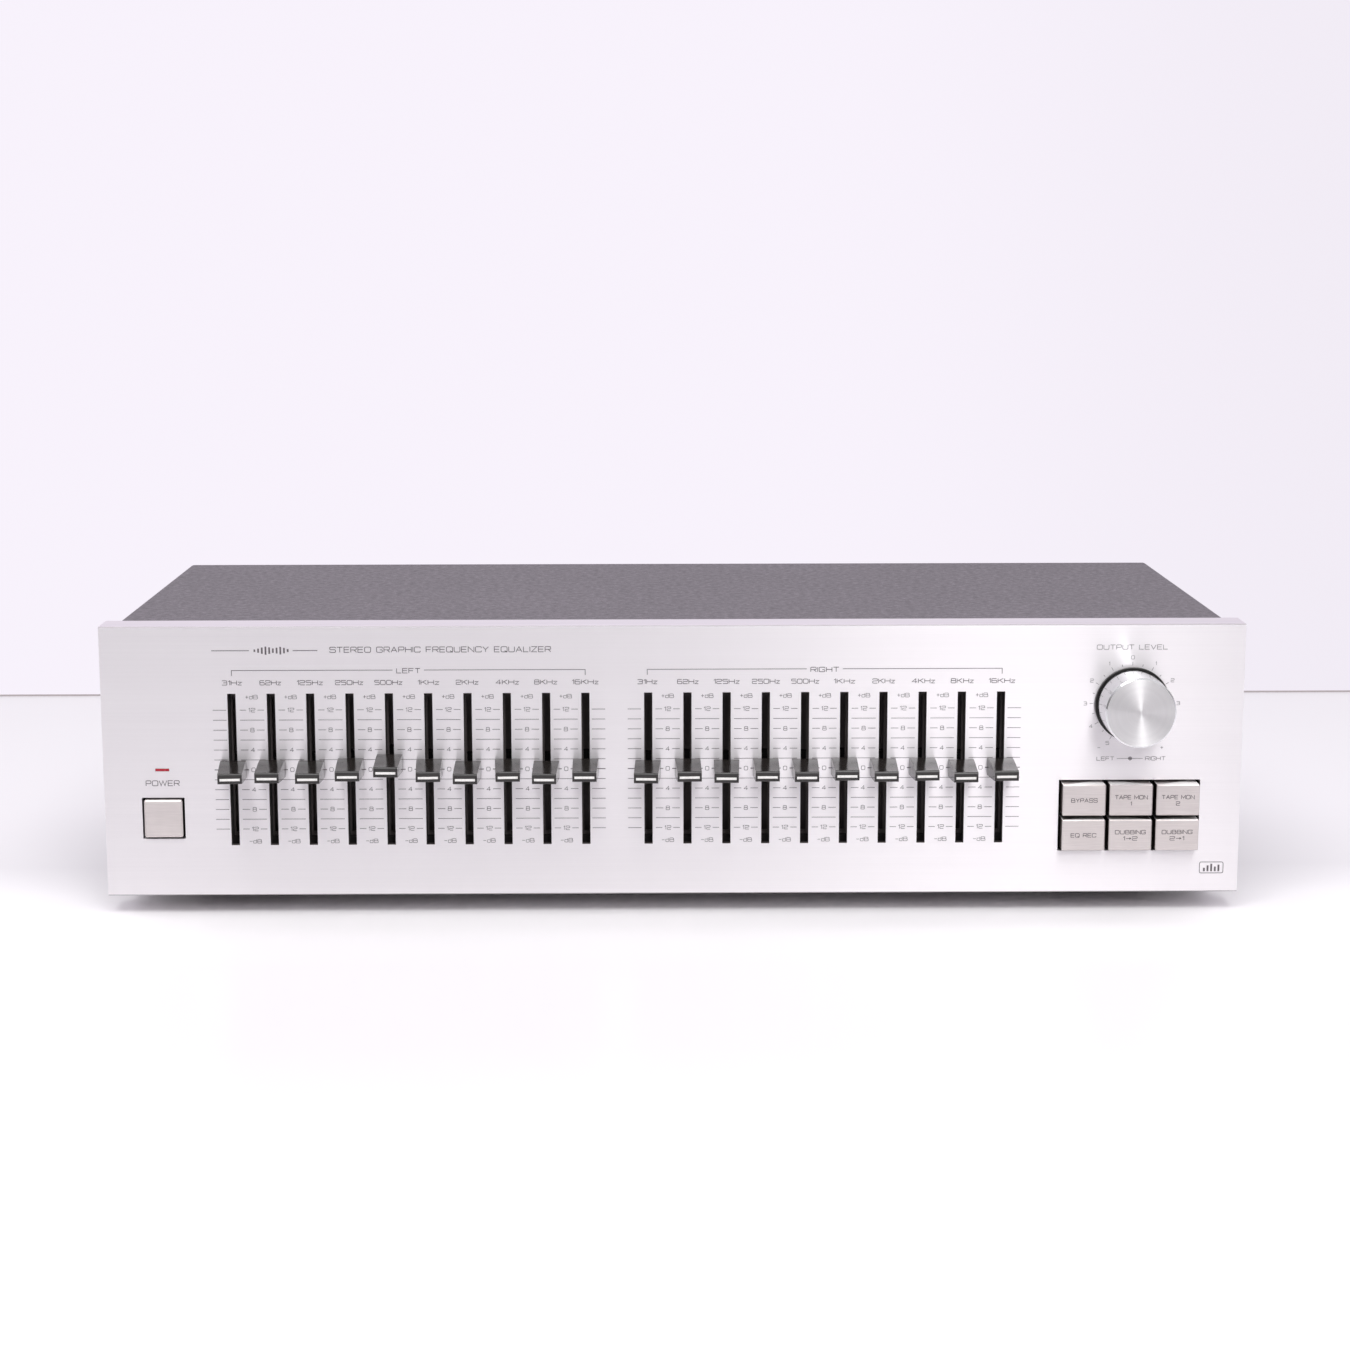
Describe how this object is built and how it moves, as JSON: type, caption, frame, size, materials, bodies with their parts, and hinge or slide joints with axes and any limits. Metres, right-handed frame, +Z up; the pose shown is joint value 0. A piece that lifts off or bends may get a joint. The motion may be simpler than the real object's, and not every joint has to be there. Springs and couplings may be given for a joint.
{
  "type": "graphic equalizer",
  "caption": "Free-standing hi-fi graphic equalizer: silver front panel with left and right banks of vertical sliders, push buttons and a concentric level knob, grey cover, rear phono jacks.",
  "frame": {"origin": "on the supporting surface, under the middle of the whole unit's bounding box", "axes": "+X along the width, to the right as seen by someone facing the front panel; +Y to the rear, so the front panel faces -Y; +Z up"},
  "size_m": [0.42, 0.203, 0.108],
  "materials": {
    "panel_aluminium": "horizontally brushed, clear anodised",
    "black_sheet": "matt black",
    "plated_steel": "zinc plated",
    "cover_coating": "fine textured grey coating",
    "rear_sheet": "matt dark grey paint",
    "foot_plastic": "moulded, satin",
    "zinc_screw": "zinc plated",
    "black_screw": "black oxide",
    "board_laminate": "phenolic laminate",
    "switch_plastic": "moulded",
    "lamp_red": "tinted, diffused",
    "guide_black": "moulded",
    "brass_post": "plain",
    "ic_black": "moulded epoxy",
    "film_green": "dipped",
    "sleeve_blue": "shrink sleeve",
    "black_aluminium": "black anodised",
    "ribbon_grey": "vinyl",
    "core_iron": "varnished laminations",
    "winding_tape": "taped winding",
    "jack_nickel": "nickel plated",
    "jack_plastic": "moulded",
    "gland_nylon": "moulded nylon",
    "key_silver": "metallised, satin",
    "knob_aluminium": "turned face, polished side",
    "ring_black": "moulded, satin",
    "cap_black": "moulded, glossy, bright line insert"
  },
  "bodies": {
    "root": {"front_panel": "panel_aluminium", "sub_panel": "black_sheet", "bottom_chassis": "plated_steel", "top_cover": "cover_coating", "rear_panel": "rear_sheet", "feet": "foot_plastic", "foot_screws": "zinc_screw", "cover_screws": "black_screw", "panel_screws": "zinc_screw", "slide_pots": "plated_steel", "slider_board": "board_laminate", "power_switch": "switch_plastic", "power_lamp": "lamp_red", "button_guides": "guide_black", "switch_bank": "switch_plastic", "level_pot": "plated_steel", "level_pot_nut": "zinc_screw", "main_board": "board_laminate", "board_standoffs": "brass_post", "inner_screws": "zinc_screw", "op_amps": "ic_black", "film_capacitors": "film_green", "filter_capacitors": "sleeve_blue", "heat_sink": "black_aluminium", "regulators": "ic_black", "ribbon_cable": "ribbon_grey", "transformer_core": "core_iron", "transformer_winding": "winding_tape", "phono_jack_shells": "jack_nickel", "phono_jack_insulators": "jack_plastic", "cord_gland": "gland_nylon"},
    "slider_left_31hz": {"slider_left_31hz": "cap_black"},
    "slider_left_62hz": {"slider_left_62hz": "cap_black"},
    "slider_left_125hz": {"slider_left_125hz": "cap_black"},
    "slider_left_250hz": {"slider_left_250hz": "cap_black"},
    "slider_left_500hz": {"slider_left_500hz": "cap_black"},
    "slider_left_1khz": {"slider_left_1khz": "cap_black"},
    "slider_left_2khz": {"slider_left_2khz": "cap_black"},
    "slider_left_4khz": {"slider_left_4khz": "cap_black"},
    "slider_left_8khz": {"slider_left_8khz": "cap_black"},
    "slider_left_16khz": {"slider_left_16khz": "cap_black"},
    "slider_right_31hz": {"slider_right_31hz": "cap_black"},
    "slider_right_62hz": {"slider_right_62hz": "cap_black"},
    "slider_right_125hz": {"slider_right_125hz": "cap_black"},
    "slider_right_250hz": {"slider_right_250hz": "cap_black"},
    "slider_right_500hz": {"slider_right_500hz": "cap_black"},
    "slider_right_1khz": {"slider_right_1khz": "cap_black"},
    "slider_right_2khz": {"slider_right_2khz": "cap_black"},
    "slider_right_4khz": {"slider_right_4khz": "cap_black"},
    "slider_right_8khz": {"slider_right_8khz": "cap_black"},
    "slider_right_16khz": {"slider_right_16khz": "cap_black"},
    "power_button": {"power_button": "key_silver"},
    "button_bypass": {"button_bypass": "key_silver"},
    "button_tape_monitor_1": {"button_tape_monitor_1": "key_silver"},
    "button_tape_monitor_2": {"button_tape_monitor_2": "key_silver"},
    "button_eq_record": {"button_eq_record": "key_silver"},
    "button_dubbing_1_to_2": {"button_dubbing_1_to_2": "key_silver"},
    "button_dubbing_2_to_1": {"button_dubbing_2_to_1": "key_silver"},
    "level_ring_knob": {"level_ring_knob": "ring_black"},
    "level_knob": {"level_knob": "knob_aluminium"}
  },
  "joints": [
    {"name": "slider_left_31hz_slide", "type": "slide", "parent": "root", "child": "slider_left_31hz", "axis": [0, 0, 1], "range_m": [-0.022, 0.023]},
    {"name": "slider_left_62hz_slide", "type": "slide", "parent": "root", "child": "slider_left_62hz", "axis": [0, 0, 1], "range_m": [-0.0223, 0.0227]},
    {"name": "slider_left_125hz_slide", "type": "slide", "parent": "root", "child": "slider_left_125hz", "axis": [0, 0, 1], "range_m": [-0.022, 0.023]},
    {"name": "slider_left_250hz_slide", "type": "slide", "parent": "root", "child": "slider_left_250hz", "axis": [0, 0, 1], "range_m": [-0.02285, 0.02215]},
    {"name": "slider_left_500hz_slide", "type": "slide", "parent": "root", "child": "slider_left_500hz", "axis": [0, 0, 1], "range_m": [-0.0243, 0.0207]},
    {"name": "slider_left_1khz_slide", "type": "slide", "parent": "root", "child": "slider_left_1khz", "axis": [0, 0, 1], "range_m": [-0.0225, 0.0225]},
    {"name": "slider_left_2khz_slide", "type": "slide", "parent": "root", "child": "slider_left_2khz", "axis": [0, 0, 1], "range_m": [-0.02165, 0.02335]},
    {"name": "slider_left_4khz_slide", "type": "slide", "parent": "root", "child": "slider_left_4khz", "axis": [0, 0, 1], "range_m": [-0.0225, 0.0225]},
    {"name": "slider_left_8khz_slide", "type": "slide", "parent": "root", "child": "slider_left_8khz", "axis": [0, 0, 1], "range_m": [-0.0216, 0.0234]},
    {"name": "slider_left_16khz_slide", "type": "slide", "parent": "root", "child": "slider_left_16khz", "axis": [0, 0, 1], "range_m": [-0.0224, 0.0226]},
    {"name": "slider_right_31hz_slide", "type": "slide", "parent": "root", "child": "slider_right_31hz", "axis": [0, 0, 1], "range_m": [-0.02175, 0.02325]},
    {"name": "slider_right_62hz_slide", "type": "slide", "parent": "root", "child": "slider_right_62hz", "axis": [0, 0, 1], "range_m": [-0.0223, 0.0227]},
    {"name": "slider_right_125hz_slide", "type": "slide", "parent": "root", "child": "slider_right_125hz", "axis": [0, 0, 1], "range_m": [-0.02185, 0.02315]},
    {"name": "slider_right_250hz_slide", "type": "slide", "parent": "root", "child": "slider_right_250hz", "axis": [0, 0, 1], "range_m": [-0.0223, 0.0227]},
    {"name": "slider_right_500hz_slide", "type": "slide", "parent": "root", "child": "slider_right_500hz", "axis": [0, 0, 1], "range_m": [-0.02205, 0.02295]},
    {"name": "slider_right_1khz_slide", "type": "slide", "parent": "root", "child": "slider_right_1khz", "axis": [0, 0, 1], "range_m": [-0.02255, 0.02245]},
    {"name": "slider_right_2khz_slide", "type": "slide", "parent": "root", "child": "slider_right_2khz", "axis": [0, 0, 1], "range_m": [-0.02205, 0.02295]},
    {"name": "slider_right_4khz_slide", "type": "slide", "parent": "root", "child": "slider_right_4khz", "axis": [0, 0, 1], "range_m": [-0.0224, 0.0226]},
    {"name": "slider_right_8khz_slide", "type": "slide", "parent": "root", "child": "slider_right_8khz", "axis": [0, 0, 1], "range_m": [-0.0217, 0.0233]},
    {"name": "slider_right_16khz_slide", "type": "slide", "parent": "root", "child": "slider_right_16khz", "axis": [0, 0, 1], "range_m": [-0.0222, 0.0228]},
    {"name": "power_button_press", "type": "slide", "parent": "root", "child": "power_button", "axis": [0, 1, 0], "range_m": [-0.0033, 0.0003]},
    {"name": "button_bypass_press", "type": "slide", "parent": "root", "child": "button_bypass", "axis": [0, 1, 0], "range_m": [0, 0.0035], "stiffness_N_per_m": 300, "springref_m": -0.002},
    {"name": "button_tape_monitor_1_press", "type": "slide", "parent": "root", "child": "button_tape_monitor_1", "axis": [0, 1, 0], "range_m": [0, 0.0035], "stiffness_N_per_m": 300, "springref_m": -0.002},
    {"name": "button_tape_monitor_2_press", "type": "slide", "parent": "root", "child": "button_tape_monitor_2", "axis": [0, 1, 0], "range_m": [0, 0.0035], "stiffness_N_per_m": 300, "springref_m": -0.002},
    {"name": "button_eq_record_press", "type": "slide", "parent": "root", "child": "button_eq_record", "axis": [0, 1, 0], "range_m": [0, 0.0035], "stiffness_N_per_m": 300, "springref_m": -0.002},
    {"name": "button_dubbing_1_to_2_press", "type": "slide", "parent": "root", "child": "button_dubbing_1_to_2", "axis": [0, 1, 0], "range_m": [0, 0.0035], "stiffness_N_per_m": 300, "springref_m": -0.002},
    {"name": "button_dubbing_2_to_1_press", "type": "slide", "parent": "root", "child": "button_dubbing_2_to_1", "axis": [0, 1, 0], "range_m": [0, 0.0035], "stiffness_N_per_m": 300, "springref_m": -0.002},
    {"name": "level_ring_knob_turn", "type": "hinge", "parent": "root", "child": "level_ring_knob", "pos_m": [0.16885, -0.08795, 0.0783], "axis": [0, 1, 0], "range_deg": [-150, 150]},
    {"name": "level_knob_turn", "type": "hinge", "parent": "root", "child": "level_knob", "pos_m": [0.16885, -0.08795, 0.0783], "axis": [0, 1, 0], "range_deg": [-150, 150]}
  ]
}
